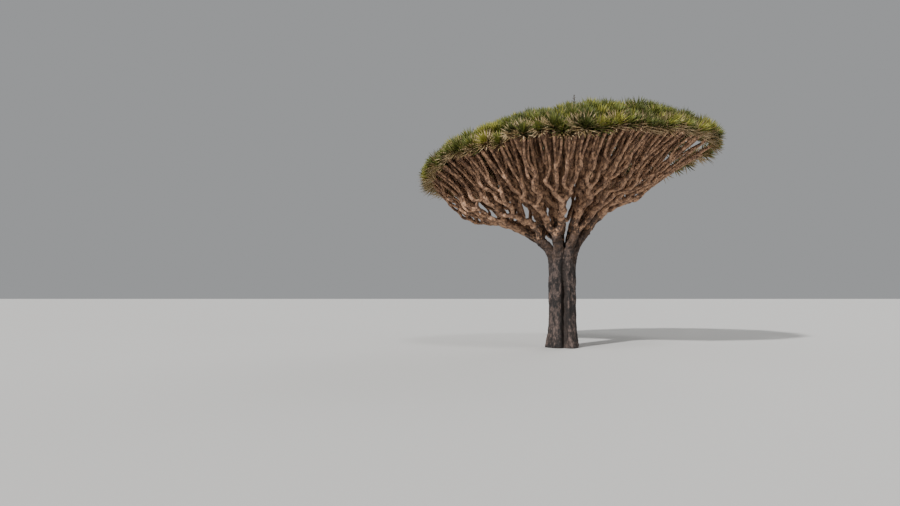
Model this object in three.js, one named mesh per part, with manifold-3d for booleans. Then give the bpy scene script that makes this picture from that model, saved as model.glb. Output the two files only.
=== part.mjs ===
// A dragon blood tree at its real size, in millimetres, +Z up.
// The origin is on the flat cut under the trunk, at ground level. The side that faces -Y is the front.
//
// The whole tree follows one rule. The roof of the crown is a tilted dome, shared out in patches.
// Every shoot is bound for the middle of its patch. Where it forks, its patch is cut in two along
// the longer side, and each half goes to one of the two shoots that grow on.

import * as THREE from "three";
import Module from "manifold-3d";
import { mergeVertices } from "three/addons/utils/BufferGeometryUtils.js";

const wasm = await Module();
wasm.setup();

const degree = Math.PI / 180;
const seed = 11;
const gap = 0.3; // clear distance between two pieces that meet

const trunk = {
  waistRadius: 360,
  footFlare: 90, // how much wider the foot is than the waist
  flareHeight: 330,
  flarePower: 1.5,
  // The foot swells in waves round the trunk: how many, how much of the flare, and where they start.
  buttresses: [
    { count: 3, size: 0.35, turn: 212 * degree },
    { count: 5, size: 0.25, turn: -63 * degree },
  ],
  headHeight: 2420, // the column ends inside the roots of the boughs
  cleftAngle: 270 * degree, // the deep cleft down the front
  cleftDepth: 120,
  seamDepth: 34, // the shallow seams between the other boughs
  seamWidth: 13 * degree,
  footShare: 0.55, // how deep the seams are at the foot, as a share of their depth at the head
  sides: 32,
  rings: 9,
  crowding: 1.35, // the rings stand closer together towards the foot
};

// The roof is half an ellipse turned round an upright axis, then leant to the right.
const crown = {
  centreX: 230,
  radius: 3573,
  baseHeight: 4553,
  domeHeight: 1316,
  rimAngle: 83 * degree, // where the roof ends, measured from the top of its ellipse
  rimSwing: 0.125, // it ends this share later at the back, and sooner at the front
  rimLobes: [
    { amount: 0.15, angle: 174 * degree }, // later again at the left end, which hangs
    { amount: -0.085, angle: 238 * degree }, // and sooner at the front left
  ],
  lobePower: 8,
  tilt: 0.082, // rise to the right, millimetres for each millimetre
};

// The way from the trunk to the roof leaves the trunk upright, bends outwards and rises again.
const way = {
  startHeight: 2197,
  startSpread: 240,
  firstLift: 1040,
  firstSpread: 75,
  spreadPower: 0.5, // how far the ways to the middle of the crown share in the first spread
  lastReach: 1433,
  lastLift: 1571,
  sway: 0.185, // what the limbs near the trunk have more of the tilt than the roof
  leanPower: 6, // how soon after the trunk's head the tilt sets in
};

// Seven boughs stand round the ring, at these angles, and three more rise to the cap.
const boughAngles = [350, 43, 95, 148, 195, 246, 294].map((a) => a * degree);
const boughShare = 0.9; // the ring's boughs are bound for this share of the way from top to rim
const capBoughs = 3;
const capTurn = 70 * degree;
const capShares = [0.01, 0.36];
const ringEdge = 0.65; // between the masses inside the ring and those at the rim

// How far along the way each order of limb ends.
const stubEnd = 0.18;
const boughEnd = 0.28;
const armRoot = 0.26; // inside the end of the bough
const armStart = 0.36;
const armEnd = 0.46;
const forks = [0.49, 0.59];
const lastBend = 0.8;
const lastEnd = 1.01;

// Thickness follows the number of tufts of leaves that a limb carries.
const tuftsInMass = 32;
const tuftsInBough = 3 * tuftsInMass;
const shootRadius = 31; // where it carries one tuft
const pipeExponent = 0.3;
const stubSwell = 1.1; // how much thicker a bough is at its root in the trunk
const taper = 0.95; // from one fork to the next
const collar = 0.16; // a side shoot widens from a point over this share of its first stretch
const armSplit = 0.42; // the share of an arm that is a stub on its bough
const armSwell = 1.15; // how much thicker it is at that stub

// A shoot's end strays from the middle of its patch, and a cut from the middle of its side.
const endStray = 0.22;
const rimPull = 0.5; // how far shoots bound for the rim end on the rim's side of their patch
const cutStray = 0.16;

// The layer of leaf bases over a patch, measured from the roof.
const cushion = { under: 55, over: 120, relief: 110, cells: 4, margin: 14 };

const spray = {
  root: 40, // over the roof, inside the cushion
  reach: 385, // over the roof
  width: 260,
  thickness: 16,
  widest: 0.2, // the share of its length where it is widest
  stray: 200,
  overRim: 3, // how many lean out over the rim from one shoot
  rimRoot: 0.965, // their roots and their tips, as shares of the way from top to rim
  rimTip: 1.01,
  rimStray: 0.05,
  rimReach: 1,
  rimReachStray: 0.2,
};

const barkFinish = { color: 0x8a6f58, roughness: 0.9, metalness: 0 };
const trunkFinish = { color: 0x7b6c60, roughness: 0.92, metalness: 0 };
const leafFinish = { color: 0x55692a, roughness: 0.6, metalness: 0 };

// A repeatable number from 0 to 1 for a shoot's key and the n-th question asked about it.
function chance(key, n) {
  let h = Math.imul(key * 32 + n + seed, 0x9e3779b1) >>> 0;
  h = Math.imul(h ^ (h >>> 15), 0x85ebca6b) >>> 0;
  h = Math.imul(h ^ (h >>> 13), 0xc2b2ae35) >>> 0;
  return ((h ^ (h >>> 16)) >>> 0) / 4294967296;
}

function stray(key, n) {
  return chance(key, n) - 0.5;
}

function radiusFor(tufts) {
  return shootRadius * tufts ** pipeExponent;
}

// The roof's meridian, a stretch of ellipse walked at even speed from the top to the rim.
function makeMeridian(steps) {
  const lengths = [0];
  const angleAt = (i) => (crown.rimAngle * i) / steps;
  for (let i = 0; i < steps; i += 1) {
    const a = (angleAt(i) + angleAt(i + 1)) / 2;
    const speed = Math.hypot(crown.radius * Math.cos(a), crown.domeHeight * Math.sin(a));
    lengths.push(lengths[i] + (speed * crown.rimAngle) / steps);
  }
  const total = lengths[steps];
  const angle = (share) => {
    const wanted = share * total;
    let i = 1;
    while (i < steps && lengths[i] < wanted) i += 1;
    return angleAt(i - 1 + (wanted - lengths[i - 1]) / (lengths[i] - lengths[i - 1]));
  };
  return { total, angle };
}

const meridian = makeMeridian(200);

// By what share the roof ends later than elsewhere, in one direction.
function rimTurn(angle) {
  let turn = crown.rimSwing * Math.sin(angle);
  for (const lobe of crown.rimLobes) {
    turn += lobe.amount * Math.max(0, Math.cos(angle - lobe.angle)) ** crown.lobePower;
  }
  return turn;
}

// The angle on the ellipse for a place on the roof.
function roofAngle(share, angle) {
  return meridian.angle(share) * (1 + rimTurn(angle) * share ** 2);
}

// Out from the crown's axis and up from the ground, for a place on the roof or offset from it.
function roofProfile(share, angle, offset = 0) {
  const a = roofAngle(share, angle);
  return new THREE.Vector2(
    (crown.radius + offset) * Math.sin(a),
    crown.baseHeight + (crown.domeHeight + offset) * Math.cos(a),
  );
}

// Leans the upright model: the crown stands off the trunk's axis and rises to the right.
function lean(out, up, angle, progress) {
  const x = out * Math.cos(angle);
  const rest = 1 - progress;
  const tilt = (crown.tilt + way.sway * rest) * (1 - rest ** way.leanPower);
  return new THREE.Vector3(
    x + crown.centreX * progress ** 2,
    out * Math.sin(angle),
    up + tilt * x,
  );
}

// A point over the roof, or under it where offset is negative.
function roofPoint(share, angle, offset) {
  const p = roofProfile(share, angle, offset);
  return lean(p.x, p.y, angle, 1);
}

// How roofPlace closes in on its answer.
const search = { passes: 8, pastRim: 1.3, fine: 1e-5 };

// The share and angle of a point near the roof: the converse of roofPoint.
function roofPlace(point) {
  const x = point.x - crown.centreX;
  const out = Math.hypot(x, point.y);
  const up = point.z - crown.baseHeight - crown.tilt * x;
  const angle = Math.atan2(point.y, x);
  let offset = 0;
  let a = 0;
  for (let i = 0; i < search.passes; i += 1) {
    a = Math.atan2(out / (crown.radius + offset), up / (crown.domeHeight + offset));
    const besideRoof = out - crown.radius * Math.sin(a);
    const overRoof = up - crown.domeHeight * Math.cos(a);
    offset = besideRoof * Math.sin(a) + overRoof * Math.cos(a);
  }
  let share = 0;
  let high = search.pastRim;
  while (high - share > search.fine) {
    const mid = (share + high) / 2;
    if (roofAngle(mid, angle) < a) share = mid;
    else high = mid;
  }
  return { share, angle };
}

// Where a shoot bound for a place on the roof is after part of its way.
function wayPoint(place, progress) {
  const { share, angle } = place;
  const end = roofProfile(share, angle);
  const spread = share ** way.spreadPower;
  const start = new THREE.Vector2(way.startSpread * spread, way.startHeight);
  const first = start.clone().add(new THREE.Vector2(way.firstSpread * spread, way.firstLift));
  const last = end.clone().sub(new THREE.Vector2(way.lastReach * share, way.lastLift));
  const p = new THREE.CubicBezierCurve(start, first, last, end).getPoint(progress);
  return lean(p.x, p.y, angle, progress);
}

// A patch runs between two shares and two angles. Its middle halves its area.
function patch(share0, share1, angle0, angle1) {
  return { share0, share1, angle0, angle1 };
}

function middle(p) {
  return {
    share: Math.sqrt((p.share0 ** 2 + p.share1 ** 2) / 2),
    angle: (p.angle0 + p.angle1) / 2,
  };
}

function halves(p, key) {
  const mid = middle(p);
  const across = (p.angle1 - p.angle0) * roofProfile(mid.share, mid.angle).x;
  const along = (p.share1 - p.share0) * meridian.total;
  const shift = cutStray * stray(key, 0);
  if (across > along) {
    const cut = mid.angle + shift * (p.angle1 - p.angle0);
    return [
      patch(p.share0, p.share1, p.angle0, cut),
      patch(p.share0, p.share1, cut, p.angle1),
    ];
  }
  const cut = mid.share + shift * (p.share1 - p.share0);
  return [
    patch(p.share0, cut, p.angle0, p.angle1),
    patch(cut, p.share1, p.angle0, p.angle1),
  ];
}

// The place that a patch's shoot is bound for, a little off the true middle.
function target(p, key, progress) {
  const mid = middle(p);
  const pull = p.share1 === 1 ? rimPull * Math.max(0, 2 * progress - 1) * (1 - mid.share) : 0;
  return {
    share: mid.share + pull + endStray * stray(key, 1) * (p.share1 - p.share0),
    angle: mid.angle + endStray * stray(key, 2) * (p.angle1 - p.angle0),
  };
}

// Where the shoot bound for a patch is after part of its way.
function shootPoint(p, key, progress) {
  return wayPoint(target(p, key, progress), progress);
}

function angleBetween(a, b) {
  const d = (a - b) / (2 * Math.PI);
  return Math.abs(d - Math.round(d)) * 2 * Math.PI;
}

// The boughs, each with its place, its load and the patches that it serves.
function ringBoughs() {
  const count = boughAngles.length;
  return boughAngles.map((angle, i) => {
    const low = angle - angleBetween(angle, boughAngles[(i + count - 1) % count]) / 2;
    const high = angle + angleBetween(angle, boughAngles[(i + 1) % count]) / 2;
    const mid = (low + high) / 2;
    return {
      name: `bough_${i + 1}`,
      share: boughShare,
      angle: mid,
      tufts: tuftsInBough,
      patches: [
        patch(capShares[1], ringEdge, low, high),
        patch(ringEdge, 1, low, mid),
        patch(ringEdge, 1, mid, high),
      ],
    };
  });
}

function risingBoughs() {
  const width = (2 * Math.PI) / capBoughs;
  return Array.from({ length: capBoughs }, (_, i) => {
    const low = capTurn + i * width;
    const whole = patch(...capShares, low, low + width);
    return { name: `cap_bough_${i + 1}`, ...middle(whole), tufts: tuftsInMass, patches: [whole] };
  });
}

function isForked(bough) {
  return bough.patches.length > 1;
}

// A closed solid from a geometry's faces. Faces that have shrunk to a line or a point drop out.
function solidFrom(geometry) {
  const bare = geometry.clone();
  bare.deleteAttribute("normal");
  bare.deleteAttribute("uv");
  const merged = mergeVertices(bare, 1e-3);
  const corners = merged.index.array;
  const kept = [];
  for (let i = 0; i < corners.length; i += 3) {
    const face = corners.slice(i, i + 3);
    if (new Set(face).size === 3) kept.push(...face);
  }
  return new wasm.Manifold(
    new wasm.Mesh({
      numProp: 3,
      vertProperties: merged.getAttribute("position").array,
      triVerts: new Uint32Array(kept),
    }),
  );
}

function geometryFrom(solid) {
  const mesh = solid.getMesh();
  const geometry = new THREE.BufferGeometry();
  geometry.setAttribute("position", new THREE.BufferAttribute(mesh.vertProperties, 3));
  geometry.setIndex(new THREE.BufferAttribute(mesh.triVerts, 1));
  geometry.computeVertexNormals();
  return geometry;
}

// The body with the most volume: loose scraps are dropped.
function largest(solid) {
  return solid.decompose().reduce((a, b) => (a.volume() > b.volume() ? a : b));
}

// Moves each corner of a geometry to where place(corner) says.
function reshape(geometry, place) {
  const position = geometry.getAttribute("position");
  const corner = new THREE.Vector3();
  for (let i = 0; i < position.count; i += 1) {
    const placed = place(corner.fromBufferAttribute(position, i));
    position.setXYZ(i, placed.x, placed.y, placed.z);
  }
  return geometry;
}

// A tapering limb: a cylinder bent along a curve, its ends square to the curve.
// It begins clear of the limb that it carries on from.
function limb(curve, startRadius, endRadius, sides, rings, clear = 0) {
  const frames = curve.computeFrenetFrames(rings, false);
  const bent = reshape(new THREE.CylinderGeometry(1, 1, 1, sides, rings), (corner) => {
    const along = corner.y + 0.5;
    const ring = Math.round(along * rings);
    const radius = THREE.MathUtils.lerp(startRadius, endRadius, along);
    return curve
      .getPointAt(along)
      .addScaledVector(frames.tangents[ring], ring === 0 ? clear : 0)
      .addScaledVector(frames.normals[ring], corner.x * radius)
      .addScaledVector(frames.binormals[ring], -corner.z * radius);
  });
  return solidFrom(bent);
}

// The way to one place on the roof, between two shares of the whole way.
class WayCurve extends THREE.Curve {
  constructor(place, from, to) {
    super();
    Object.assign(this, { place, from, to });
  }

  getPoint(t, result = new THREE.Vector3()) {
    return result.copy(wayPoint(this.place, THREE.MathUtils.lerp(this.from, this.to, t)));
  }
}

// A stretch of another curve.
class Stretch extends THREE.Curve {
  constructor(whole, from, to) {
    super();
    Object.assign(this, { whole, from, to });
  }

  getPoint(t, result = new THREE.Vector3()) {
    return result.copy(this.whole.getPointAt(THREE.MathUtils.lerp(this.from, this.to, t)));
  }
}

// The trunk's column: waist, flared foot, the deep cleft and the seams between the boughs.
function column(boughs) {
  const seams = boughs.filter(isForked).map((bough) => bough.patches[1].angle0);
  const blank = new THREE.CylinderGeometry(1, 1, 1, trunk.sides, trunk.rings);
  const shaped = reshape(blank, (corner) => {
    const height = trunk.headHeight * (corner.y + 0.5) ** trunk.crowding;
    const angle = Math.atan2(-corner.z, corner.x);
    const isAxis = Math.hypot(corner.x, corner.z) < 0.5;
    const radius = isAxis ? 0 : columnRadius(angle, height, seams);
    return new THREE.Vector3(radius * Math.cos(angle), radius * Math.sin(angle), height);
  });
  return solidFrom(shaped);
}

function columnRadius(angle, height, seams) {
  const groove = (at) => Math.exp(-((angleBetween(angle, at) / trunk.seamWidth) ** 2));
  const flare = trunk.footFlare * Math.exp(-((height / trunk.flareHeight) ** trunk.flarePower));
  const swelling = (wave) => wave.size * Math.cos(wave.count * angle + wave.turn);
  const buttress = trunk.buttresses.reduce((sum, wave) => sum + swelling(wave), 1);
  const cleft = trunk.cleftDepth * groove(trunk.cleftAngle);
  const seam = trunk.seamDepth * Math.max(...seams.map(groove));
  const deeper = THREE.MathUtils.lerp(trunk.footShare, 1, height / trunk.headHeight);
  return trunk.waistRadius + flare * buttress - Math.max(seam, cleft) * deeper;
}

// The trunk carries a stub of each bough.
function makeTrunk(boughs) {
  const stubs = boughs.map((bough) => {
    const radius = radiusFor(bough.tufts);
    return limb(new WayCurve(bough, 0, stubEnd), radius * stubSwell, radius, 8, 3);
  });
  return stubs.reduce((a, b) => a.add(b), column(boughs));
}

// A bough runs on from its stub on the trunk to its fork, or to its mass where it doesn't fork.
function boughCurve(bough) {
  return new WayCurve(bough, stubEnd, isForked(bough) ? boughEnd : armEnd);
}

// An arm swings from inside the end of its bough to the way of its own patch.
function armCurve(bough, p) {
  const own = middle(p);
  const stations = [armStart, (armStart + armEnd) / 2, armEnd];
  return new THREE.CatmullRomCurve3([
    wayPoint(bough, armRoot),
    ...stations.map((t) => wayPoint(own, t)),
  ]);
}

// A bough that forks carries a stub of each of its arms.
function makeBough(bough) {
  const radius = radiusFor(bough.tufts);
  if (!isForked(bough)) return limb(boughCurve(bough), radius, radius * taper, 8, 4, gap);
  const swollen = radiusFor(tuftsInMass) * armSwell;
  const stubs = bough.patches.map((p) =>
    limb(new Stretch(armCurve(bough, p), 0, armSplit), swollen, swollen, 7, 2),
  );
  return stubs.reduce((a, b) => a.add(b), limb(boughCurve(bough), radius, radius * taper, 8, 2, gap));
}

function makeArm(bough, p) {
  const curve = new Stretch(armCurve(bough, p), armSplit, 1);
  const radius = radiusFor(tuftsInMass);
  return limb(curve, radius * armSwell, radius, 7, 2, gap);
}

// A spray of leaves: a sword-shaped blade, thin and pointed, from a root to a tip.
function blade(root, tip, turn) {
  const length = root.distanceTo(tip);
  const shaped = reshape(new THREE.OctahedronGeometry(1), (corner) => {
    const up = corner.y < -0.5 ? 0 : corner.y > 0.5 ? 1 : spray.widest;
    return new THREE.Vector3(
      (corner.x * spray.width) / 2,
      up * length,
      (corner.z * spray.thickness) / 2,
    );
  });
  const along = tip.clone().sub(root).normalize();
  const level = new THREE.Vector3(Math.cos(turn), Math.sin(turn), 0);
  const side = new THREE.Vector3().crossVectors(along, level).normalize();
  const out = new THREE.Vector3().crossVectors(side, along);
  return shaped.applyMatrix4(new THREE.Matrix4().makeBasis(side, along, out).setPosition(root));
}

function isPointInside(p, point) {
  const place = roofPlace(point);
  const fromMiddle = angleBetween(place.angle, middle(p).angle);
  const out = roofProfile(place.share, place.angle).x;
  const beside = ((p.angle1 - p.angle0) / 2 - fromMiddle) * out;
  const above = (place.share - p.share0) * meridian.total;
  const below = p.share1 < 1 ? (p.share1 - place.share) * meridian.total : Infinity;
  return Math.min(beside, above, below) > cushion.margin;
}

function isInside(p, geometry) {
  const position = geometry.getAttribute("position");
  const corner = new THREE.Vector3();
  for (let i = 0; i < position.count; i += 1) {
    if (!isPointInside(p, corner.fromBufferAttribute(position, i))) return false;
  }
  return true;
}

// One spray stands over each half of a shoot's patch.
function topSprays(p, key) {
  return halves(p, key).map((half, i) => {
    const { share, angle } = middle(half);
    const tipShare = share + (spray.stray * stray(key, 3 + i)) / meridian.total;
    const tipAngle = angle + (spray.stray * stray(key, 5 + i)) / roofProfile(share, angle).x;
    const tip = roofPoint(tipShare, tipAngle, spray.reach);
    return blade(roofPoint(share, angle, spray.root), tip, angle + (i + 0.5) * 60 * degree);
  });
}

// More lean out over the rim.
function rimSprays(p, key) {
  return Array.from({ length: spray.overRim }, (_, i) => {
    const across = (i + 0.5 + 0.5 * stray(key, 7 + i)) / spray.overRim;
    const angle = THREE.MathUtils.lerp(p.angle0, p.angle1, across);
    const reach = spray.reach * (spray.rimReach + spray.rimReachStray * stray(key, 10 + i));
    const tip = roofPoint(spray.rimTip + spray.rimStray * stray(key, 13 + i), angle, reach);
    return blade(roofPoint(spray.rimRoot, angle, 0), tip, angle);
  });
}

// The closed cushion of leaf bases over a patch, hilly on top, that the sprays stand out of.
function makeCushion(p, number) {
  const n = cushion.cells;
  const inset = cushion.margin / meridian.total;
  const bent = reshape(new THREE.BoxGeometry(1, 1, 1, n, n, 1), (corner) => {
    const share = THREE.MathUtils.lerp(p.share1 - inset, p.share0 + inset, corner.y + 0.5);
    const turnInset = cushion.margin / roofProfile(share, p.angle0).x;
    const angle = THREE.MathUtils.lerp(p.angle0 + turnInset, p.angle1 - turnInset, corner.x + 0.5);
    const hill = chance(number, Math.round((corner.x + 0.5) * n + (corner.y + 0.5) * n * (n + 1)));
    const over = cushion.over + cushion.relief * hill;
    return roofPoint(share, angle, corner.z > 0 ? over : -cushion.under);
  });
  return solidFrom(bent);
}

// A shoot that keeps on through its forks, with a ring of corners at each of its stations.
function shoot(stations, sides) {
  const rings = stations.length - 1;
  const tip = stations[rings].point;
  const level = new THREE.Vector3(-tip.y, tip.x, 0).normalize();
  const bent = reshape(new THREE.CylinderGeometry(1, 1, 1, sides, rings), (corner) => {
    const { point, radius, heading } = stations[Math.round((corner.y + 0.5) * rings)];
    const out = new THREE.Vector3().crossVectors(level, heading).normalize();
    const side = new THREE.Vector3().crossVectors(heading, out);
    return point
      .clone()
      .addScaledVector(side, corner.x * radius)
      .addScaledVector(out, corner.z * radius);
  });
  return solidFrom(bent);
}

// Every station of a shoot heads the way that a smooth curve through them all does there.
function headAlong(stations) {
  const curve = new THREE.CatmullRomCurve3(stations.map((station) => station.point));
  return stations.map((station, i) => ({
    heading: curve.getTangent(i / (stations.length - 1)),
    ...station,
  }));
}

// One mass: a stem that forks and forks again, the cushion over it and its sprays.
// At each fork the shoot keeps on into one half of its patch, and a side shoot leaves for the other.
function makeMass(base, heading, whole, number) {
  const pieces = [];

  const grow = (stations, startPatch, startOrder, startKey) => {
    let p = startPatch;
    let key = startKey;
    for (let order = startOrder; order < forks.length; order += 1) {
      const radius = radiusFor(tuftsInMass / 2 ** order);
      const fork = shootPoint(p, key, forks[order]);
      leave(stations, fork, radius);
      const [kept, other] = halves(p, key);
      grow([{ point: fork, radius: 0 }], other, order + 1, key * 2 + 1);
      p = kept;
      key *= 2;
    }
    const radius = radiusFor(tuftsInMass / 2 ** forks.length);
    leave(stations, shootPoint(p, key, lastBend), radius);
    stations.push({ point: shootPoint(p, key, lastEnd), radius: radius * taper ** 2 });
    pieces.push(shoot(headAlong(stations), startOrder === 0 ? 5 : 3));
    const sprays = [...topSprays(p, key), ...(p.share1 < 1 ? [] : rimSprays(p, key))];
    pieces.push(...sprays.filter((geometry) => isInside(whole, geometry)).map(solidFrom));
  };

  // A side shoot starts as a point inside the shoot that it leaves, and widens over its collar.
  const leave = (stations, point, radius) => {
    if (stations.length === 1 && stations[0].radius === 0) {
      stations.push({ point: stations[0].point.clone().lerp(point, collar), radius });
    }
    stations.push({ point, radius: radius * taper });
  };

  grow([{ point: base, radius: radiusFor(tuftsInMass), heading }], whole, 0, number * 64 + 1);
  return largest(pieces.reduce((a, b) => a.add(b), makeCushion(whole, number)));
}

function namedMesh(name, solid, finish) {
  const mesh = new THREE.Mesh(geometryFrom(solid), new THREE.MeshStandardMaterial(finish));
  mesh.name = name;
  return mesh;
}

function buildTree() {
  const tree = new THREE.Group();
  const boughs = [...ringBoughs(), ...risingBoughs()];
  tree.add(namedMesh("trunk", makeTrunk(boughs), trunkFinish));
  let massNumber = 0;
  for (const bough of boughs) {
    tree.add(namedMesh(bough.name, makeBough(bough), barkFinish));
    bough.patches.forEach((p, i) => {
      massNumber += 1;
      const carrier = isForked(bough) ? armCurve(bough, p) : boughCurve(bough);
      if (isForked(bough)) {
        tree.add(namedMesh(`${bough.name}_arm_${i + 1}`, makeArm(bough, p), barkFinish));
      }
      const heading = carrier.getTangentAt(1);
      const base = carrier.getPointAt(1).addScaledVector(heading, gap);
      const name = `leaf_mass_${String(massNumber).padStart(2, "0")}`;
      tree.add(namedMesh(name, makeMass(base, heading, p, massNumber), leafFinish));
    });
  }
  return tree;
}

export default buildTree();
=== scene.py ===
import math

import bmesh
import bpy
import numpy as np
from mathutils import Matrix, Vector, noise


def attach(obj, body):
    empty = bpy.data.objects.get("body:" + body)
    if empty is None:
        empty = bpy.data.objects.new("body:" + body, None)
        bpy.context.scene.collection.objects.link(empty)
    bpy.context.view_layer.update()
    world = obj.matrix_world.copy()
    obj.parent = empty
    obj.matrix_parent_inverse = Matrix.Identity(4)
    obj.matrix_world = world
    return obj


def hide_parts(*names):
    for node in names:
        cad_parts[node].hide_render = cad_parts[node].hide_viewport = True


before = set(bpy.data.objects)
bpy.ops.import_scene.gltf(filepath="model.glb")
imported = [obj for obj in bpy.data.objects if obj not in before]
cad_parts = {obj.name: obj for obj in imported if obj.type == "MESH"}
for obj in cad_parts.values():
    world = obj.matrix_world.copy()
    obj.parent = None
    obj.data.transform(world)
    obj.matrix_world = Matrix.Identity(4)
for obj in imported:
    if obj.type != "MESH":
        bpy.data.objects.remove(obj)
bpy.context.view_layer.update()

# Dragon blood tree. Metres, +Z up, origin on the flat cut under the trunk, front faces -Y.

print("frame loaded:", len(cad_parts), "nodes")

photoView = {
    "place": (-2.95, -18.57, 1.42),
    "pitch": 3.24,  # degrees above level
    "lens": 28.25,
}


def setCamera():
    data = bpy.data.cameras.new("photoCamera")
    data.sensor_width = 36
    data.lens = photoView["lens"]
    data.clip_end = 500
    camera = bpy.data.objects.new("photoCamera", data)
    camera.location = photoView["place"]
    camera.rotation_euler = (math.radians(90 + photoView["pitch"]), 0, 0)
    bpy.context.scene.collection.objects.link(camera)
    bpy.context.scene.camera = camera


setCamera()
print("camera set")

# The way the tree grows. The roof of the crown is a tilted dome shared out in patches. A shoot is
# bound for the middle of its patch, and where it forks the patch is cut in two across its longer
# side. A place on the roof is its share of the way from the top to the rim, and its angle.

crown = {
    "centreX": 0.23,
    "radius": 3.573,
    "baseHeight": 4.553,
    "domeHeight": 1.316,
    "rimAngle": math.radians(83),
    "rimSwing": 0.125,  # the roof ends later at the back, sooner at the front
    "rimLobes": ((0.15, math.radians(174)), (-0.085, math.radians(238))),  # the left end hangs
    "lobePower": 8,
    "tilt": 0.082,
    "meridianSteps": 200,  # in which the roof is measured from its top to its rim
}
# The curve from the trunk to the roof: its start, its first direction and its last.
way = {
    "startHeight": 2.197,
    "startSpread": 0.24,
    "firstLift": 1.04,
    "firstSpread": 0.075,
    "spreadPower": 0.5,
    "lastReach": 1.433,
    "lastLift": 1.571,
    "sway": 0.185,
    "leanPower": 6,
}
growth = {
    "seed": 11,
    "boughAngles": (350, 43, 95, 148, 195, 246, 294),  # degrees from the right, by way of the back
    "boughShare": 0.9,
    "capBoughs": 3,
    "capTurn": 70,
    "capShares": (0.01, 0.36),
    "ringEdge": 0.65,
    "boughStart": 0.02,  # from here on, stations are shares of the way from the trunk to the roof
    "boughEnd": 0.28,
    "boughPoints": 7,
    "capPoints": 12,
    "capStem": (4, 6),  # the points where its shoots start and where the trunk's part of it ends
    "armStations": (0.36, 0.41, 0.46),
    "armSwell": (1.12, 1.04),  # at its first point and after it
    "forks": (0.49, 0.59, 0.67, 0.75, 0.83, 0.91),
    "rimForks": (0.97, 0.82, 0.12),  # share of the rim's shoots that make each of the last forks
    "innerForks": (0.85, 0.35, 0),
    "openness": 0.6,  # how much of those shares is missing on the open side, where the sky shows
    "openSide": math.radians(30),
    "tipEnd": 1.0,
    "tipStray": 0.03,
    "sideReach": 0.03,  # the outermost shoots go further at the crown's left and right ends
    "sidePower": 6,
    "edgePower": 8,
    "firmForks": 3,  # before this fork they stray less
    "stagger": 0.045,  # how far the later forks stray along the way
    "wander": 0.11,  # and aside from it
    "settle": 0.15,  # how far the limbs sag where the forks are few
    "endStray": 0.22,
    "rimPull": 0.5,  # how far the shoots bound for the rim keep to the rim's side of their patch
    "openPull": 0.4,  # and how much more where the forks are few
    "cutStray": 0.16,
    "tuftsInMass": 32,  # a limb's radius goes by the tufts that it bears
    "shootRadius": 0.031,
    "pipeExponent": 0.3,
    "slim": 0.93,  # between two forks, as a share of the radius at them
    "swell": 1.12,
    "rootSwell": 1.28,  # how much thicker a bough is where it leaves the trunk
    "rootDrop": (0.5, 1.0),  # how far its rib runs down the trunk, in two steps
    "rootRadii": (0.62, 0.48),  # as shares of the bough's
    "rootInset": 0.9,
    "bow": (0.24, 0.46),  # where the elbow is, along the old heading and aside from it
    "crook": 0.06,  # how far it strays
    "thinner": 0.4,  # how much thinner the limbs are where the forks are few
}


# A number from 0 to 1 for one question n about the shoot of this key, the same in each run.
def chance(key, n):
    h = ((key * 32 + n + growth["seed"]) * 0x9E3779B1) & 0xFFFFFFFF
    h = ((h ^ (h >> 15)) * 0x85EBCA6B) & 0xFFFFFFFF
    h = ((h ^ (h >> 13)) * 0xC2B2AE35) & 0xFFFFFFFF
    return (h ^ (h >> 16)) / 4294967296


def stray(key, n):
    return chance(key, n) - 0.5


def radiusFor(tufts):
    return growth["shootRadius"] * tufts ** growth["pipeExponent"]


def mix(a, b, t):
    return a + (b - a) * t


meridianAngles = np.linspace(0, crown["rimAngle"], crown["meridianSteps"] + 1)
middles = (meridianAngles[1:] + meridianAngles[:-1]) / 2
steps = np.hypot(crown["radius"] * np.cos(middles), crown["domeHeight"] * np.sin(middles))
steps *= crown["rimAngle"] / crown["meridianSteps"]
meridianLengths = np.concatenate(([0], np.cumsum(steps)))
meridianTotal = float(meridianLengths[-1])


# How much later the roof ends in one direction than in others.
def rimTurn(angle):
    lobes = (
        amount * max(0, math.cos(angle - side)) ** crown["lobePower"]
        for amount, side in crown["rimLobes"]
    )
    return crown["rimSwing"] * math.sin(angle) + sum(lobes)


def roofProfile(share, angle, offset=0.0):
    a = float(np.interp(share * meridianTotal, meridianLengths, meridianAngles))
    a *= 1 + rimTurn(angle) * share ** 2
    out = (crown["radius"] + offset) * math.sin(a)
    return out, crown["baseHeight"] + (crown["domeHeight"] + offset) * math.cos(a)


# Leans a point of the upright crown to the right, the more the further along its way it is.
def lean(out, up, angle, progress):
    x = out * math.cos(angle)
    rest = 1 - progress
    tilt = (crown["tilt"] + way["sway"] * rest) * (1 - rest ** way["leanPower"])
    return Vector((x + crown["centreX"] * progress ** 2, out * math.sin(angle), up + tilt * x))


def roofPoint(place, offset):
    return lean(*roofProfile(*place, offset), place[1], 1)


# A point on the curve from the trunk to a place on the roof.
def wayPoint(place, progress):
    share, angle = place
    endOut, endUp = roofProfile(share, angle)
    spread = share ** way["spreadPower"]
    startOut = way["startSpread"] * spread
    firstOut = (way["startSpread"] + way["firstSpread"]) * spread
    startUp, firstUp = way["startHeight"], way["startHeight"] + way["firstLift"]
    outs = (startOut, firstOut, endOut - way["lastReach"] * share, endOut)
    ups = (startUp, firstUp, endUp - way["lastLift"], endUp)
    rest = 1 - progress
    weights = (rest ** 3, 3 * rest ** 2 * progress, 3 * rest * progress ** 2, progress ** 3)
    out = sum(w * v for w, v in zip(weights, outs))
    up = sum(w * v for w, v in zip(weights, ups))
    return lean(out, up, angle, progress)


def middle(patch):
    share0, share1, angle0, angle1 = patch
    return math.sqrt((share0 ** 2 + share1 ** 2) / 2), (angle0 + angle1) / 2


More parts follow.
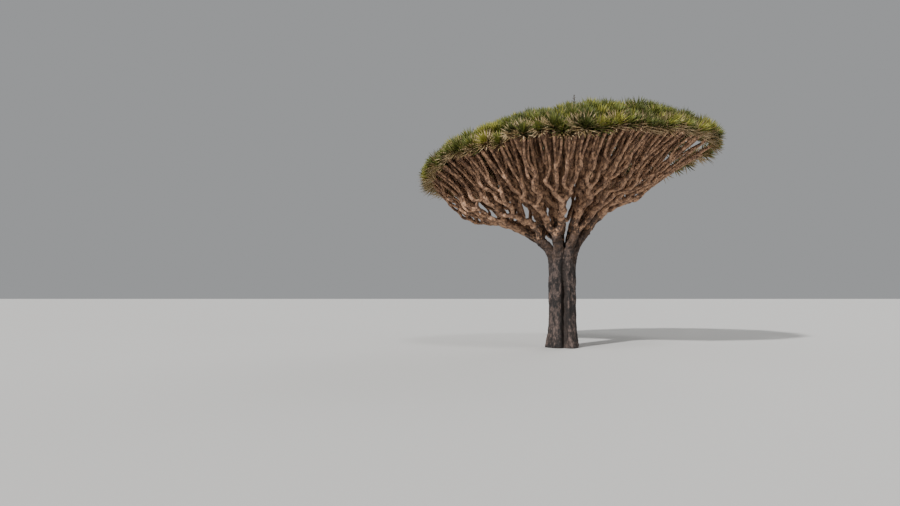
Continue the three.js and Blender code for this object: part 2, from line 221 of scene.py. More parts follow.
def halves(patch, key):
    share0, share1, angle0, angle1 = patch
    share, angle = middle(patch)
    shift = growth["cutStray"] * stray(key, 0)
    if (angle1 - angle0) * roofProfile(share, angle)[0] > (share1 - share0) * meridianTotal:
        cut = angle + shift * (angle1 - angle0)
        return (share0, share1, angle0, cut), (share0, share1, cut, angle1)
    cut = share + shift * (share1 - share0)
    return (share0, cut, angle0, angle1), (cut, share1, angle0, angle1)


# The share of the last forks that is missing in one direction.
def openAt(angle):
    return growth["openness"] * (0.5 + 0.5 * math.cos(angle - growth["openSide"])) ** 2


# The place that a shoot is bound for.
def target(patch, key, progress):
    share0, share1, angle0, angle1 = patch
    share, angle = middle(patch)
    if share1 == 1:
        pull = growth["rimPull"] * (1 + growth["openPull"] * openAt(angle))
        share += pull * max(0, 2 * progress - 1) * (1 - share)  # from halfway on
    share += growth["endStray"] * stray(key, 1) * (share1 - share0)
    return share, angle + growth["endStray"] * stray(key, 2) * (angle1 - angle0)


def listBoughs():
    boughs = []
    angles = [math.radians(a) for a in growth["boughAngles"]]
    count = len(angles)
    half = [((angles[(i + 1) % count] - angles[i]) % (2 * math.pi)) / 2 for i in range(count)]
    capEdge, ringEdge = growth["capShares"][1], growth["ringEdge"]
    for i, angle in enumerate(angles):
        low, high = angle - half[i - 1], angle + half[i]
        mid = (low + high) / 2
        inner = (capEdge, ringEdge, low, high)
        patches = [inner, (ringEdge, 1, low, mid), (ringEdge, 1, mid, high)]
        boughs.append({"place": (growth["boughShare"], mid), "patches": patches})
    width = 2 * math.pi / growth["capBoughs"]
    for i in range(growth["capBoughs"]):
        low = math.radians(growth["capTurn"]) + i * width
        patch = (*growth["capShares"], low, low + width)
        boughs.append({"place": middle(patch), "patches": [patch]})
    return boughs


# A shoot is a list of (point, radius). It bows out at once after a fork and then straightens.
def stretchTo(shoot, heading, point, radius, key):
    start = shoot[-1][0]
    ahead = (point - start).dot(heading) * heading
    elbow = start + growth["bow"][0] * ahead + growth["bow"][1] * (point - start - ahead)
    elbow += growth["crook"] * Vector((stray(key, 14), stray(key, 15), stray(key, 16)))
    shoot.append((elbow, radius * growth["slim"]))
    shoot.append((point, radius * growth["swell"]))
    return (point - elbow).normalized()


# Whether a shoot forks once more: always at first, and some of them at the end.
def forksAgain(patch, order, key):
    shares = growth["rimForks"] if patch[1] > growth["ringEdge"] else growth["innerForks"]
    late = order - (len(growth["forks"]) - len(shares))
    if late < 0:
        return True
    if late == len(shares):
        return False
    return chance(key, 4) < shares[late] - openAt(middle(patch)[1])


def followShoot(tree, shoot, heading, patch, order, key):
    while forksAgain(patch, order, key):
        thin = 1 - growth["thinner"] * openAt(middle(patch)[1])
        radius = thin * radiusFor(growth["tuftsInMass"] / 2 ** order)
        free = min(1, order / growth["firmForks"])
        progress = growth["forks"][order] + free * growth["stagger"] * stray(key, 3)
        fork = wayPoint(target(patch, key, progress), progress)
        aside = Vector((stray(key, 11), stray(key, 12), stray(key, 13) / 2))
        fork += free * growth["wander"] * aside
        late = max(0, 2 * progress - 1) * 4 * (1 - progress)  # most at three quarters of the way
        fork.z -= growth["settle"] * openAt(middle(patch)[1]) * late
        heading = stretchTo(shoot, heading, fork, radius, key)
        kept, other = halves(patch, key)
        order += 1
        side = [(fork, thin * radiusFor(growth["tuftsInMass"] / 2 ** order))]
        followShoot(tree, side, heading, other, order, key * 2 + 1)
        patch, key = kept, key * 2
    place = target(patch, key, 1)
    sideways = math.cos(place[1]) ** growth["sidePower"]
    further = growth["sideReach"] * sideways * place[0] ** growth["edgePower"]
    tip = wayPoint(place, growth["tipEnd"] + further + growth["tipStray"] * stray(key, 5))
    heading = stretchTo(shoot, heading, tip, growth["shootRadius"], key)
    tree["shoots"].append(shoot)
    tree["tips"].append({"point": tip, "heading": heading, "place": place, "key": key})


# A bough's rib on the trunk, which runs down under its first point and sinks in.
def ribUnder(first):
    point, radius = first
    shallow, deep = growth["rootDrop"]
    upper, lower = growth["rootRadii"]
    inset = growth["rootInset"]
    return [
        (Vector((point.x * inset, point.y * inset, point.z - deep)), radius * lower),
        (Vector((point.x, point.y, point.z - shallow)), radius * upper),
    ]


# The tree's limbs: the boughs and the feet of their arms, which are skinned in one with the trunk,
# the shoots from each arm to a tip, and the tips.
def growTree():
    tree = {"boughs": [], "armFeet": [], "shoots": [], "tips": []}
    mass = 0
    swell = growth["rootSwell"] - 1
    armRadius = radiusFor(growth["tuftsInMass"])
    footSwell, armSwell = growth["armSwell"]
    armFrom, stemTo = growth["capStem"]
    for bough in listBoughs():
        forked = len(bough["patches"]) > 1
        radius = radiusFor(growth["tuftsInMass"] * len(bough["patches"]))
        end = growth["boughEnd"] if forked else growth["armStations"][-1]
        points = growth["boughPoints"] if forked else growth["capPoints"]
        stem = [
            (wayPoint(bough["place"], t), radius * (1 + swell * (1 - t / end) ** 3))
            for t in np.linspace(growth["boughStart"], end, points)
        ]
        tree["boughs"].append(ribUnder(stem[0]) + (stem if forked else stem[:stemTo]))
        for patch in bough["patches"]:
            mass += 1
            if forked:
                place = middle(patch)
                arm = [(stem[-1][0], armRadius * footSwell)]
                arm += [(wayPoint(place, t), armRadius * armSwell) for t in growth["armStations"]]
            else:
                arm = stem[armFrom:]
            tree["armFeet"].append(arm[:3])
            heading = (arm[-1][0] - arm[-2][0]).normalized()
            followShoot(tree, list(arm), heading, patch, 0, mass * 64 + 1)  # 64 keys for each mass
    return tree


tree = growTree()
print("tree grown:", len(tree["shoots"]), "shoots")


def newObject(name, mesh):
    obj = bpy.data.objects.new(name, mesh)
    bpy.context.scene.collection.objects.link(obj)
    return obj


# Bends a tube along each shoot, its thickness given by the radius at each point.
def tubesFrom(name, shoots, sides, rings):
    curve = bpy.data.curves.new(name, "CURVE")
    curve.dimensions = "3D"
    curve.bevel_depth = 1
    curve.bevel_resolution = (sides - 4) // 2
    curve.resolution_u = rings
    curve.use_fill_caps = True
    for shoot in shoots:
        spline = curve.splines.new("BEZIER")
        spline.bezier_points.add(len(shoot) - 1)
        for knot, (point, radius) in zip(spline.bezier_points, shoot):
            knot.co = point
            knot.radius = radius
            knot.handle_left_type = knot.handle_right_type = "AUTO"
    bent = newObject(name, curve)
    return freeze(bent, name)


# Turns an object with its modifiers into a plain mesh object of the same name.
def freeze(obj, name):
    graph = bpy.context.evaluated_depsgraph_get()
    mesh = bpy.data.meshes.new_from_object(obj.evaluated_get(graph))
    bpy.data.objects.remove(obj)
    mesh.name = name
    return newObject(name, mesh)


# Moves each point out along its normal by relief(point).
def roughen(obj, relief):
    mesh = obj.data
    normals = [v.normal.copy() for v in mesh.vertices]
    for vertex, normal in zip(mesh.vertices, normals):
        vertex.co += normal * relief(vertex.co)
    mesh.shade_smooth()


trunkShape = {
    "waist": 0.36,
    "flare": 0.09,
    "flareHeight": 0.33,
    "flarePower": 1.5,
    "buttresses": ((0.35, 3, 3.7), (0.25, 5, -1.1)),  # swing of the flare, times round, turn
    "head": 2.45,
    "shoulder": 0.35,  # height over which the column closes in under the boughs
    "closing": 0.75,
    "cleftAngle": 269,
    "cleftDepth": 0.22,
    "cleftWidth": 12,
    "cleftBite": 0.05,  # cut once more after the boughs' ribs have filled it
    "biteFade": 0.3,
    "seamDepth": 0.05,
    "seamWidth": 10,
    "grooveAtFoot": 0.55,  # depth of the cleft and seams there, as a share of that at the head
    "twist": 7,  # degrees that the seams turn in each metre
    "segments": 128,
    "rings": 60,
    "limbSides": 16,
    "limbRings": 4,
    "voxel": 0.0165,
    "softenings": 5,
    "lumps": (0.016, 6),  # depth in metres, and how many to about a metre
    "furrows": (0.016, 17),
    "grit": (0.009, 45),
    "grain": (2.3, 0.3),  # under this height the relief is drawn out upwards, by 1 / 0.3
    "cutEdge": 0.04,  # the relief fades out over this height, so the cut at the ground stays flat
}


# The angle between two directions, at most half a turn.
def turnBetween(a, b):
    d = (a - b) / (2 * math.pi)
    return abs(d - round(d)) * 2 * math.pi


# The depth of a groove, from 0 to 1, as seen in one direction from its middle.
def groove(angle, at, width):
    return math.exp(-((turnBetween(angle, at) / math.radians(width)) ** 2))


def columnRadius(angle, height, seams):
    shape = trunkShape
    twist = math.radians(shape["twist"]) * (shape["head"] - height)
    seam = shape["seamDepth"] * max(groove(angle, at + twist, shape["seamWidth"]) for at in seams)
    cleft = groove(angle, math.radians(shape["cleftAngle"]), shape["cleftWidth"])
    deepest = max(seam, shape["cleftDepth"] * cleft)
    flare = shape["flare"] * math.exp(-((height / shape["flareHeight"]) ** shape["flarePower"]))
    buttress = 1
    for swing, times, turn in shape["buttresses"]:
        buttress += swing * math.cos(times * angle + turn)
    close = max(0, 1 - (shape["head"] - height) / shape["shoulder"])
    radius = shape["waist"] + flare * buttress
    radius -= deepest * mix(shape["grooveAtFoot"], 1, height / shape["head"])
    return radius * math.sqrt(1 - shape["closing"] * close ** 2)


def makeColumn():
    rings = trunkShape["rings"]
    seams = [patch[2] for bough in listBoughs() for patch in bough["patches"][2:]]
    bm = bmesh.new()
    bmesh.ops.create_circle(bm, cap_ends=True, segments=trunkShape["segments"], radius=1)
    for ring in range(1, rings + 1):
        edges = [e for e in bm.edges if e.is_boundary] if ring > 1 else bm.edges[:]
        grown = bmesh.ops.extrude_edge_only(bm, edges=edges)["geom"]
        fresh = [g for g in grown if isinstance(g, bmesh.types.BMVert)]
        bmesh.ops.translate(bm, verts=fresh, vec=(0, 0, 1))
    bmesh.ops.contextual_create(bm, geom=[e for e in bm.edges if e.is_boundary])
    for vertex in bm.verts:
        angle = math.atan2(vertex.co.y, vertex.co.x)
        height = trunkShape["head"] * vertex.co.z / rings
        radius = columnRadius(angle, height, seams)
        vertex.co = Vector((radius * math.cos(angle), radius * math.sin(angle), height))
    bmesh.ops.recalc_face_normals(bm, faces=bm.faces)
    mesh = bpy.data.meshes.new("column")
    bm.to_mesh(mesh)
    bm.free()
    return mesh


def grainNoise(p, scale, up):
    return noise.noise(Vector((p.x * scale, p.y * scale, p.z * scale * up)))


def trunkRelief(p):
    shape = trunkShape
    grainTop, grain = shape["grain"]
    up = grain if p.z < grainTop else 1
    lumps = shape["lumps"][0] * grainNoise(p, shape["lumps"][1], up)
    furrows = shape["furrows"][0] * grainNoise(p, shape["furrows"][1], up)
    grit = shape["grit"][0] * noise.noise(p * shape["grit"][1])
    cleft = groove(math.atan2(p.y, p.x), math.radians(shape["cleftAngle"]), shape["cleftWidth"])
    bite = shape["cleftBite"] * cleft * min(1, max(0, (shape["head"] - p.z) / shape["biteFade"]))
    return min(1, p.z / shape["cutEdge"]) * (lumps + furrows + grit - bite)


# The column and the boughs in one skin.
def makeTrunk():
    stretches = tree["boughs"] + tree["armFeet"]
    limbs = tubesFrom("trunkLimbs", stretches, trunkShape["limbSides"], trunkShape["limbRings"])
    bm = bmesh.new()
    bm.from_mesh(limbs.data)
    bm.from_mesh(makeColumn())
    bm.to_mesh(limbs.data)
    bm.free()
    remesh = limbs.modifiers.new("skin", "REMESH")
    remesh.mode = "VOXEL"
    remesh.voxel_size = trunkShape["voxel"]
    smooth = limbs.modifiers.new("soften", "SMOOTH")
    smooth.iterations = trunkShape["softenings"]
    trunk = freeze(limbs, "trunk_and_boughs")
    roughen(trunk, trunkRelief)
    for vertex in trunk.data.vertices:
        vertex.co.z = max(vertex.co.z, 0)
    return trunk


trunkPiece = makeTrunk()
print("trunk and boughs:", len(trunkPiece.data.polygons), "faces")

limbShape = {
    "sides": 8,
    "twigSides": 6,
    "rings": 6,
    "lumps": (0.012, 6),  # depth in metres, and how many to about a metre
    "knobs": (0.016, 15),
    "grit": (0.004, 35),
    "longShoots": 1.1,  # metres, from which a shoot counts as a limb
}


def limbRelief(p):
    kinds = (limbShape["lumps"], limbShape["knobs"], limbShape["grit"])
    return sum(depth * noise.noise(p * scale) for depth, scale in kinds)


def shootLength(shoot):
    return sum((a[0] - b[0]).length for a, b in zip(shoot, shoot[1:]))


def makeLimbs():
    sides, twigSides, rings = limbShape["sides"], limbShape["twigSides"], limbShape["rings"]
    limbs = [shoot for shoot in tree["shoots"] if shootLength(shoot) > limbShape["longShoots"]]
    twigs = [shoot for shoot in tree["shoots"] if shootLength(shoot) <= limbShape["longShoots"]]
    front = [shoot for shoot in limbs if shoot[-1][0].y < 0]
    back = [shoot for shoot in limbs if shoot[-1][0].y >= 0]
    pieces = [
        tubesFrom("forking_limbs_front", front, sides, rings),
        tubesFrom("forking_limbs_back", back, sides, rings),
        tubesFrom("shoots", twigs, twigSides, rings),
    ]
    for piece in pieces:
        roughen(piece, limbRelief)
    return pieces


limbPieces = makeLimbs()
print("limbs and shoots:", [len(p.data.polygons) for p in limbPieces])

rosette = {
    "leaves": 80,
    "length": (0.27, 0.38),  # from the youngest leaf to the oldest
    "lengthPower": 0.5,
    "lengthStray": (0.88, 1.08),
    "width": 0.042,
    "baseWidth": 0.72,  # at its base, as a share of the width
    "widening": 1.4,  # from there on, up to the whole width
    "fold": 0.32,
    "droop": 0.02,
    "innerTilt": 4,  # degrees from the rosette's axis
    "outerTilt": 80,
    "rimTilt": 68,
    "tiltPower": 0.8,
    "tiltStray": 6,
    "rimFrom": 0.93,  # share of the way from the top to the rim
    "sag": 0.04,
    "baseOut": 0.02,  # the leaves start this far from the axis
    "baseUp": 0.03,  # and the youngest this far along it, the oldest the stem's length further back
    "stemLength": 0.08,
    "upright": 0.78,  # how far the axis keeps to its shoot, and not to the roof's normal
    "nod": 0.35,  # how far it strays from that
    "size": (0.84, 1.14),
    "alone": 0.35,  # how much longer the leaves grow where the forks are few
}
leafTones = {
    "deep": (0.034, 0.038, 0.013),
    "green": (0.084, 0.097, 0.024),
    "fresh": (0.138, 0.152, 0.032),
    "lime": (0.262, 0.250, 0.044),
    "olive": (0.255, 0.182, 0.084),
    "straw": (0.375, 0.280, 0.160),
}
toning = {
    "freshness": 0.42,  # of the youngest leaves
    "spots": (0.6, 1.6),  # how far it swings over the roof, and how many spots to about a metre
    "tuftStray": 0.75,
    "leafStray": 0.14,
    "ageing": 0.8,
    "limits": {"lime": 0.48, "fresh": 0.12, "green": -0.28},  # the least freshness of each tone
    "dryness": {"rim": 2, "roof": 0.5},
    "drierRight": 0.15,  # how much drier it is for each metre to the right
    "old": {"rim": (0.45, 0.5), "roof": (0.6, 0.3)},  # age of olive leaves, share that turn so
    "dry": (0.5, 0.8),  # age of straw leaves, share for each unit of dryness
}
goldenAngle = math.pi * (3 - math.sqrt(5))
dice = np.random.default_rng(growth["seed"])


# One leaf of length 1 along +Y, its channel open upwards, its tip bent down.
def makeLeafShape():
    bm = bmesh.new()
    bmesh.ops.create_grid(bm, x_segments=2, y_segments=3, size=0.5)
    for vertex in bm.verts:
        along = vertex.co.y + 0.5
        taper = min(1, rosette["baseWidth"] + rosette["widening"] * along)
        across = vertex.co.x * taper * (1 - along ** 2)
        vertex.co = Vector((across, along, 2 * rosette["fold"] * abs(across)))
    bmesh.ops.remove_doubles(bm, verts=bm.verts, dist=1e-5)
    bmesh.ops.triangulate(bm, faces=bm.faces)
    bm.verts.ensure_lookup_table()
    corners = np.array([v.co[:] for v in bm.verts])
    faces = np.array([[v.index for v in f.verts] for f in bm.faces])
    bm.free()
    return corners, faces


def roofNormal(place):
    outward = roofPoint(place, 0.1) - roofPoint(place, 0)
    return outward.normalized()


# The leaves of one tuft: where each starts, its three axes, its length and its tone.
def makeRosette(tip):
    key = tip["key"]
    axis = mix(roofNormal(tip["place"]), tip["heading"], rosette["upright"])
    axis += rosette["nod"] * Vector((stray(key, 21), stray(key, 22), stray(key, 23)))
    axis.normalize()
    side = axis.orthogonal().normalized()
    axis, side = np.array(axis), np.array(side)
    third = np.cross(axis, side)
    count = rosette["leaves"]
    age = (np.arange(count) + 0.5) / count
    turn = np.arange(count) * goldenAngle + dice.uniform(0, 6)  # radians
    atRim = tip["place"][0] > rosette["rimFrom"]
    outer = rosette["rimTilt"] if atRim else rosette["outerTilt"]
    tilt = mix(rosette["innerTilt"], outer, age ** rosette["tiltPower"])
    tilt = np.radians(tilt + dice.uniform(-rosette["tiltStray"], rosette["tiltStray"], count))
    radial = np.cos(turn)[:, None] * side + np.sin(turn)[:, None] * third
    along = np.cos(tilt)[:, None] * axis + np.sin(tilt)[:, None] * radial
    along[:, 2] -= rosette["sag"] * age
    along /= np.linalg.norm(along, axis=1)[:, None]
    face = np.sin(tilt)[:, None] * axis - np.cos(tilt)[:, None] * radial
    across = np.cross(along, face)
    across /= np.linalg.norm(across, axis=1)[:, None]
    face = np.cross(across, along)
    starts = np.array(tip["point"]) + radial * rosette["baseOut"]
    starts += np.outer(rosette["baseUp"] - rosette["stemLength"] * age, axis)
    lengths = mix(*rosette["length"], age ** rosette["lengthPower"])
    lengths *= dice.uniform(*rosette["lengthStray"], count)
    room = 0 if atRim else openAt(tip["place"][1])
    lengths *= mix(*rosette["size"], chance(key, 24)) * (1 + rosette["alone"] * room)
    return starts, across, along, face, lengths, toneOf(tip, age, atRim)


# The tone of each leaf of a tuft, as its number in leafTones.
def toneOf(tip, age, atRim):
    names = list(leafTones)
    part = "rim" if atRim else "roof"
    swing, scale = toning["spots"]
    sun = toning["freshness"] + swing * noise.noise(tip["point"] * scale)
    sun += toning["tuftStray"] * stray(tip["key"], 20)
    fresh = sun - toning["ageing"] * age + dice.normal(0, toning["leafStray"], len(age))
    limits = toning["limits"]
    picks = [names.index(name) for name in limits]
    tones = np.select([fresh > limit for limit in limits.values()], picks, names.index("deep"))
    dryness = chance(tip["key"], 25) ** 2 * toning["dryness"][part]
    dryness *= 1 + toning["drierRight"] * tip["point"].x
    oldFrom, oldShare = toning["old"][part]
    old = (age > oldFrom) & (dice.random(len(age)) < oldShare + dryness)
    tones[old] = names.index("olive")
    dryFrom, dryShare = toning["dry"]
    dry = (age > dryFrom) & (dice.random(len(age)) < dryShare * dryness)
    tones[dry] = names.index("straw")
    return tones


# The leaves of all tufts, with one mesh for each tone.
def makeLeaves():
    corners, faces = makeLeafShape()
    parts = [makeRosette(tip) for tip in tree["tips"]]
    starts, across, along, face, lengths, tones = (np.concatenate(p) for p in zip(*parts))
    bend = corners[:, 1] ** 2
    pieces = []
    for tone, name in enumerate(leafTones):
        own = tones == tone
        size = lengths[own][:, None, None]
        # points by leaf, corner and axis
        placed = (
            starts[own][:, None, :]
            + corners[:, 0][None, :, None] * across[own][:, None, :] * rosette["width"]
            + corners[:, 1][None, :, None] * along[own][:, None, :] * size
            + corners[:, 2][None, :, None] * face[own][:, None, :] * rosette["width"]
            - bend[None, :, None] * face[own][:, None, :] * size * rosette["droop"]
        )
        firsts = np.arange(len(placed)) * len(corners)
        allFaces = (faces[None] + firsts[:, None, None]).reshape(-1, 3)
        pieces.append(meshFromArrays("leaves_" + name, placed.reshape(-1, 3), allFaces))
    return pieces


def meshFromArrays(name, points, faces):
    mesh = bpy.data.meshes.new(name)
    mesh.vertices.add(len(points))
    mesh.vertices.foreach_set("co", points.ravel())
    mesh.loops.add(faces.size)
    mesh.loops.foreach_set("vertex_index", faces.ravel())
    mesh.polygons.add(len(faces))
    mesh.polygons.foreach_set("loop_start", np.arange(0, faces.size, 3))
    mesh.update(calc_edges=True)
    mesh.shade_smooth()
    return newObject(name, mesh)


leafPieces = makeLeaves()
print("leaves:", {p.name: len(p.data.polygons) for p in leafPieces})

flowerStalk = {
    "near": (0.25, -1.2),
    "height": 0.57,
    "lean": 0.01,
    "bend": 0.008,
    "radii": (0.015, 0.012, 0.006),  # at the foot, halfway and at the top
    "branches": 9,
    "branchSpan": (0.62, 0.97),  # where they leave the stalk, as shares of its height
    "branchReach": (0.055, 0.02),  # from the lowest to the highest
    "branchRise": 0.9,
    "branchRadii": (0.0075, 0.00525),
    "colour": (0.05, 0.035, 0.02),
}


# One dry flower stalk stands out of the tuft that is nearest to its place.
def makeFlowerStalk():
    shape = flowerStalk
    spot = Vector(shape["near"])
    foot = min(tree["tips"], key=lambda t: (t["point"].xy - spot).length)["point"]
    top = foot + Vector((shape["lean"], 0, shape["height"]))
    waist = foot.lerp(top, 0.5) + Vector((shape["bend"], 0, 0))
    stems = [list(zip((foot, waist, top), shape["radii"]))]
    for i in range(shape["branches"]):
        share = i / shape["branches"]
        start = foot.lerp(top, mix(*shape["branchSpan"], share))
        turn = i * goldenAngle
        out = Vector((math.cos(turn), math.sin(turn), shape["branchRise"]))
        out *= mix(*shape["branchReach"], share)
        stems.append(list(zip((start, start + out), shape["branchRadii"])))
    return tubesFrom("flower_stalk", stems, 6, 3)


stalkPiece = makeFlowerStalk()
print("flower stalk made")


def newGroup(name, inputs, outputs):
    group = bpy.data.node_groups.new(name, "ShaderNodeTree")
    for label, kind, value in inputs:
        socket = group.interface.new_socket(name=label, in_out="INPUT", socket_type=kind)
        socket.default_value = value
    for label, kind in outputs:
        group.interface.new_socket(name=label, in_out="OUTPUT", socket_type=kind)
    return group


# Adds a node with its values, and returns it.
def addNode(nodes, kind, **values):
    node = nodes.new(kind)
    for key, value in values.items():
        if hasattr(node, key):
            setattr(node, key, value)
        else:
            node.inputs[key.replace("_", " ")].default_value = value
    return node


# Stretches one span of a value to another.
def addRange(nodes, links, value, **ends):
    node = addNode(nodes, "ShaderNodeMapRange", **ends)
    links.new(value, node.inputs["Value"])
    return node.outputs[0]


mixSockets = {"RGBA": (6, 7, 2), "FLOAT": (2, 3, 0)}  # numbers of the two inputs and the output


# Blends two colours or values, each given as a value or as the output of another node.
def addMix(nodes, links, kind, factor, first, second):
    node = addNode(nodes, "ShaderNodeMix", data_type=kind)
    firstSocket, secondSocket, result = mixSockets[kind]
    for number, given in ((0, factor), (firstSocket, first), (secondSocket, second)):
        if isinstance(given, bpy.types.NodeSocket):
            links.new(given, node.inputs[number])
        else:
            node.inputs[number].default_value = given
    return node.outputs[result]


# Blotches, pits and cracks of bark, in two colours, with a third in the cracks.
def barkGroup():
    group = newGroup(
        "barkLook",
        [
            ("Light", "NodeSocketColor", (0.3, 0.2, 0.15, 1)),
            ("Dark", "NodeSocketColor", (0.1, 0.07, 0.05, 1)),
            ("Crack", "NodeSocketColor", (0.03, 0.02, 0.02, 1)),
            ("Size", "NodeSocketFloat", 1.0),
            ("Stretch", "NodeSocketFloat", 1.0),
            ("Speckle", "NodeSocketFloat", 0.4),
            ("Darkest", "NodeSocketFloat", 0.1),
            ("Lightest", "NodeSocketFloat", 0.9),
        ],
        [
            ("Color", "NodeSocketColor"),
            ("Roughness", "NodeSocketFloat"),
            ("Height", "NodeSocketFloat"),
        ],
    )
    nodes, links = group.nodes, group.links
    given = nodes.new("NodeGroupInput").outputs
    result = nodes.new("NodeGroupOutput").inputs
    place = nodes.new("ShaderNodeTexCoord")
    scale = nodes.new("ShaderNodeCombineXYZ")
    squeeze = addNode(nodes, "ShaderNodeMath", operation="MULTIPLY")
    spread = addNode(nodes, "ShaderNodeVectorMath", operation="MULTIPLY")
    blotch = addNode(nodes, "ShaderNodeTexNoise", Scale=8.0, Detail=5.0, Roughness=0.62)
    pits = addNode(nodes, "ShaderNodeTexNoise", Scale=22.0, Detail=6.0, Roughness=0.7)
    plates = addNode(nodes, "ShaderNodeTexVoronoi", feature="DISTANCE_TO_EDGE", Scale=13.0)
    links.new(given["Size"], scale.inputs["X"])
    links.new(given["Size"], scale.inputs["Y"])
    links.new(given["Size"], squeeze.inputs[0])
    links.new(given["Stretch"], squeeze.inputs[1])
    links.new(squeeze.outputs[0], scale.inputs["Z"])
    links.new(place.outputs["Object"], spread.inputs[0])
    links.new(scale.outputs[0], spread.inputs[1])
    for texture in (blotch, pits, plates):
        links.new(spread.outputs[0], texture.inputs["Vector"])
    mottle = addRange(nodes, links, blotch.outputs[0], From_Min=0.43, From_Max=0.58)
    fine = addRange(nodes, links, pits.outputs[0], From_Min=0.36, From_Max=0.64)
    crack = addRange(nodes, links, plates.outputs["Distance"], From_Min=0.0, From_Max=0.09)
    both = addMix(nodes, links, "FLOAT", given["Speckle"], mottle, fine)
    sharp = nodes.new("ShaderNodeMapRange")
    links.new(both, sharp.inputs["Value"])
    links.new(given["Darkest"], sharp.inputs["From Min"])
    links.new(given["Lightest"], sharp.inputs["From Max"])
    body = addMix(nodes, links, "RGBA", sharp.outputs[0], given["Dark"], given["Light"])
    soft = addRange(nodes, links, crack, To_Min=0.45, To_Max=1.0)
    links.new(addMix(nodes, links, "RGBA", soft, given["Crack"], body), result["Color"])
    dull = addRange(nodes, links, fine, To_Min=0.78, To_Max=0.95)
    links.new(dull, result["Roughness"])
    raised = addNode(nodes, "ShaderNodeMath", operation="ADD")
    links.new(fine, raised.inputs[0])
    links.new(crack, raised.inputs[1])
    links.new(raised.outputs[0], result["Height"])
    return group


bark = barkGroup()
barkLook = {
    "trunkLight": (0.113, 0.078, 0.065, 1),
    "trunkDark": (0.006, 0.004, 0.0035, 1),
    "boughLight": (0.265, 0.143, 0.077, 1),
    "boughDark": (0.035, 0.017, 0.010, 1),
    "limbLight": (0.560, 0.325, 0.190, 1),
    "limbDark": (0.100, 0.050, 0.030, 1),
    # the crack colour is also the one that the painted shade in the clefts darkens towards
    "crack": (0.020, 0.013, 0.010, 1),
    "greyBelow": 2.7,  # metres: grey under this height, tan over the next
    "tanAbove": 4.6,
    "paintedShadeSpan": (0.24, 0.34),  # metres from the axis: the painted shade of the clefts fades out between them
    "paintedShadeLeft": 0.15,  # share of the colour that the painted shade leaves in them
    "bump": 0.6,
    "trunkPits": 0.014,  # metres
    "limbPits": 0.006,
}


# A new material, its nodes and links, and its shader.
def newMaterial(name):
    material = bpy.data.materials.new(name)
    material.use_nodes = True
    nodes, links = material.node_tree.nodes, material.node_tree.links
    return material, nodes, links, nodes["Principled BSDF"]


# The bark's node group with the colours of one tone.
def addBark(nodes, tone, **values):
    look = nodes.new("ShaderNodeGroup")
    look.node_tree = bark
    look.inputs["Light"].default_value = barkLook[tone + "Light"]
    look.inputs["Dark"].default_value = barkLook[tone + "Dark"]
    look.inputs["Crack"].default_value = barkLook["crack"]
    for label, value in values.items():
        look.inputs[label].default_value = value
    return look


def addBump(nodes, links, height, shader, distance):
    bump = addNode(nodes, "ShaderNodeBump", Strength=barkLook["bump"], Distance=distance)
    links.new(height, bump.inputs["Height"])
    links.new(bump.outputs[0], shader.inputs["Normal"])


def limbMaterial():
    material, nodes, links, shader = newMaterial("tanBark")
    look = addBark(nodes, "limb", Size=1.3, Stretch=0.8)
    links.new(look.outputs["Color"], shader.inputs["Base Color"])
    links.new(look.outputs["Roughness"], shader.inputs["Roughness"])
    addBump(nodes, links, look.outputs["Height"], shader, barkLook["limbPits"])
    return material


# Painted shade, with some dirt: darkens a colour towards the crack colour near the upright axis,
# which only the clefts of the trunk and its fork reach.
def addPaintedCleftShade(nodes, links, colour):
    place = nodes.new("ShaderNodeTexCoord")
    flat = addNode(nodes, "ShaderNodeVectorMath", operation="MULTIPLY")
    flat.inputs[1].default_value = (1, 1, 0)
    away = addNode(nodes, "ShaderNodeVectorMath", operation="LENGTH")
    links.new(place.outputs["Object"], flat.inputs[0])
    links.new(flat.outputs[0], away.inputs[0])
    near, far = barkLook["paintedShadeSpan"]
    ends = {"From_Min": near, "From_Max": far, "To_Min": barkLook["paintedShadeLeft"]}
    lit = addRange(nodes, links, away.outputs["Value"], **ends)
    return addMix(nodes, links, "RGBA", lit, barkLook["crack"], colour)


# The trunk's grey bark turns tan where the boughs spread, and takes painted shade in its clefts.
def trunkMaterial():
    material, nodes, links, shader = newMaterial("greyBark")
    grey = addBark(nodes, "trunk", Size=0.8, Stretch=0.6, Speckle=0.6, Darkest=0.4, Lightest=0.85)
    tan = addBark(nodes, "bough", Size=1.3, Stretch=0.8)
    place = nodes.new("ShaderNodeTexCoord")
    split = nodes.new("ShaderNodeSeparateXYZ")
    wander = addNode(nodes, "ShaderNodeTexNoise", Scale=2.5, Detail=4.0)
    height = addNode(nodes, "ShaderNodeMath", operation="ADD")
    links.new(place.outputs["Object"], split.inputs[0])
    links.new(place.outputs["Object"], wander.inputs["Vector"])
    links.new(split.outputs["Z"], height.inputs[0])
    links.new(wander.outputs[0], height.inputs[1])
    ends = {"From_Min": barkLook["greyBelow"], "From_Max": barkLook["tanAbove"]}
    rise = addRange(nodes, links, height.outputs[0], **ends)
    colour = addMix(nodes, links, "RGBA", rise, grey.outputs["Color"], tan.outputs["Color"])
    rough = addMix(nodes, links, "FLOAT", rise, grey.outputs["Roughness"], tan.outputs["Roughness"])
    links.new(addPaintedCleftShade(nodes, links, colour), shader.inputs["Base Color"])
    links.new(rough, shader.inputs["Roughness"])
    addBump(nodes, links, grey.outputs["Height"], shader, barkLook["trunkPits"])
    return material


leafLook = {
    "drift": (0.78, 1.22),  # from the darkest place to the lightest
    "driftScale": 6.0,
    "roughness": 0.55,
    "gloss": 0.25,
}


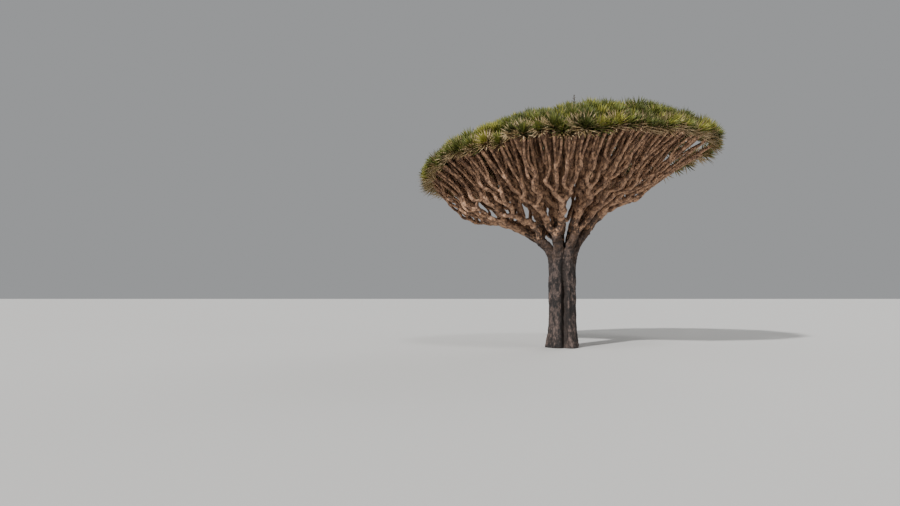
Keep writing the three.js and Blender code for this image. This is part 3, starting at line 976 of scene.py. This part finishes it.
# A tone of leaf, its shade drifting a little from place to place.
def leafMaterial(name, colour):
    material, nodes, links, shader = newMaterial(name + "Leaf")
    place = nodes.new("ShaderNodeTexCoord")
    drift = addNode(nodes, "ShaderNodeTexNoise", Scale=leafLook["driftScale"], Detail=3.0)
    links.new(place.outputs["Object"], drift.inputs["Vector"])
    dark, light = ((*[c * factor for c in colour], 1) for factor in leafLook["drift"])
    shade = addMix(nodes, links, "RGBA", drift.outputs[0], dark, light)
    links.new(shade, shader.inputs["Base Color"])
    shader.inputs["Roughness"].default_value = leafLook["roughness"]
    shader.inputs["Specular IOR Level"].default_value = leafLook["gloss"]
    return material


# Gives a piece its material, and says which body and solids it stands for.
def dress(piece, material, nodes):
    piece.data.materials.clear()
    piece.data.materials.append(material)
    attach(piece, "root")
    if nodes:
        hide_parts(*nodes)


tanBark = limbMaterial()
masses = sorted(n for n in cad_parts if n.startswith("leaf_mass"))
arms = sorted(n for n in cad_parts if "_arm_" in n)
wood = sorted(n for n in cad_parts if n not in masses)
dress(trunkPiece, trunkMaterial(), wood)
for piece in limbPieces:
    dress(piece, tanBark, arms + masses)
for piece, (name, colour) in zip(leafPieces, leafTones.items()):
    dress(piece, leafMaterial(name, colour), masses)
dress(stalkPiece, leafMaterial("stalk", flowerStalk["colour"]), [])
print("materials set")

studio = {
    "floorSize": 300,
    "floorColour": (0.52, 0.51, 0.49, 1),
    "floorRoughness": 0.9,
    "airColour": (0.93, 0.95, 0.97, 1),
    "airStrength": 0.36,
    # name, strength, softness in degrees, tilt from overhead, turn from the front towards the right
    "lights": (
        ("key", 5.2, 3, 58, -38),
        ("top", 0.7, 12, 32, 10),
        ("side", 0.8, 30, 82, 48),
        ("rear", 0.8, 30, 62, 150),
    ),
}


# A pale floor, even light from the air, and four soft suns.
def makeStudio():
    bm = bmesh.new()
    bmesh.ops.create_grid(bm, x_segments=1, y_segments=1, size=studio["floorSize"] / 2)
    mesh = bpy.data.meshes.new("floor")
    bm.to_mesh(mesh)
    bm.free()
    floor = newObject("floor", mesh)
    material, _, _, shader = newMaterial("paleFloor")
    shader.inputs["Base Color"].default_value = studio["floorColour"]
    shader.inputs["Roughness"].default_value = studio["floorRoughness"]
    mesh.materials.append(material)
    world = bpy.data.worlds.new("air")
    world.use_nodes = True
    background = world.node_tree.nodes["Background"]
    background.inputs["Color"].default_value = studio["airColour"]
    background.inputs["Strength"].default_value = studio["airStrength"]
    bpy.context.scene.world = world
    for name, strength, softness, tilt, turn in studio["lights"]:
        data = bpy.data.lights.new(name, "SUN")
        data.energy = strength
        data.angle = math.radians(softness)
        lamp = bpy.data.objects.new(name, data)
        lamp.rotation_euler = (math.radians(tilt), 0, math.radians(turn))
        bpy.context.scene.collection.objects.link(lamp)


makeStudio()
print("studio set")
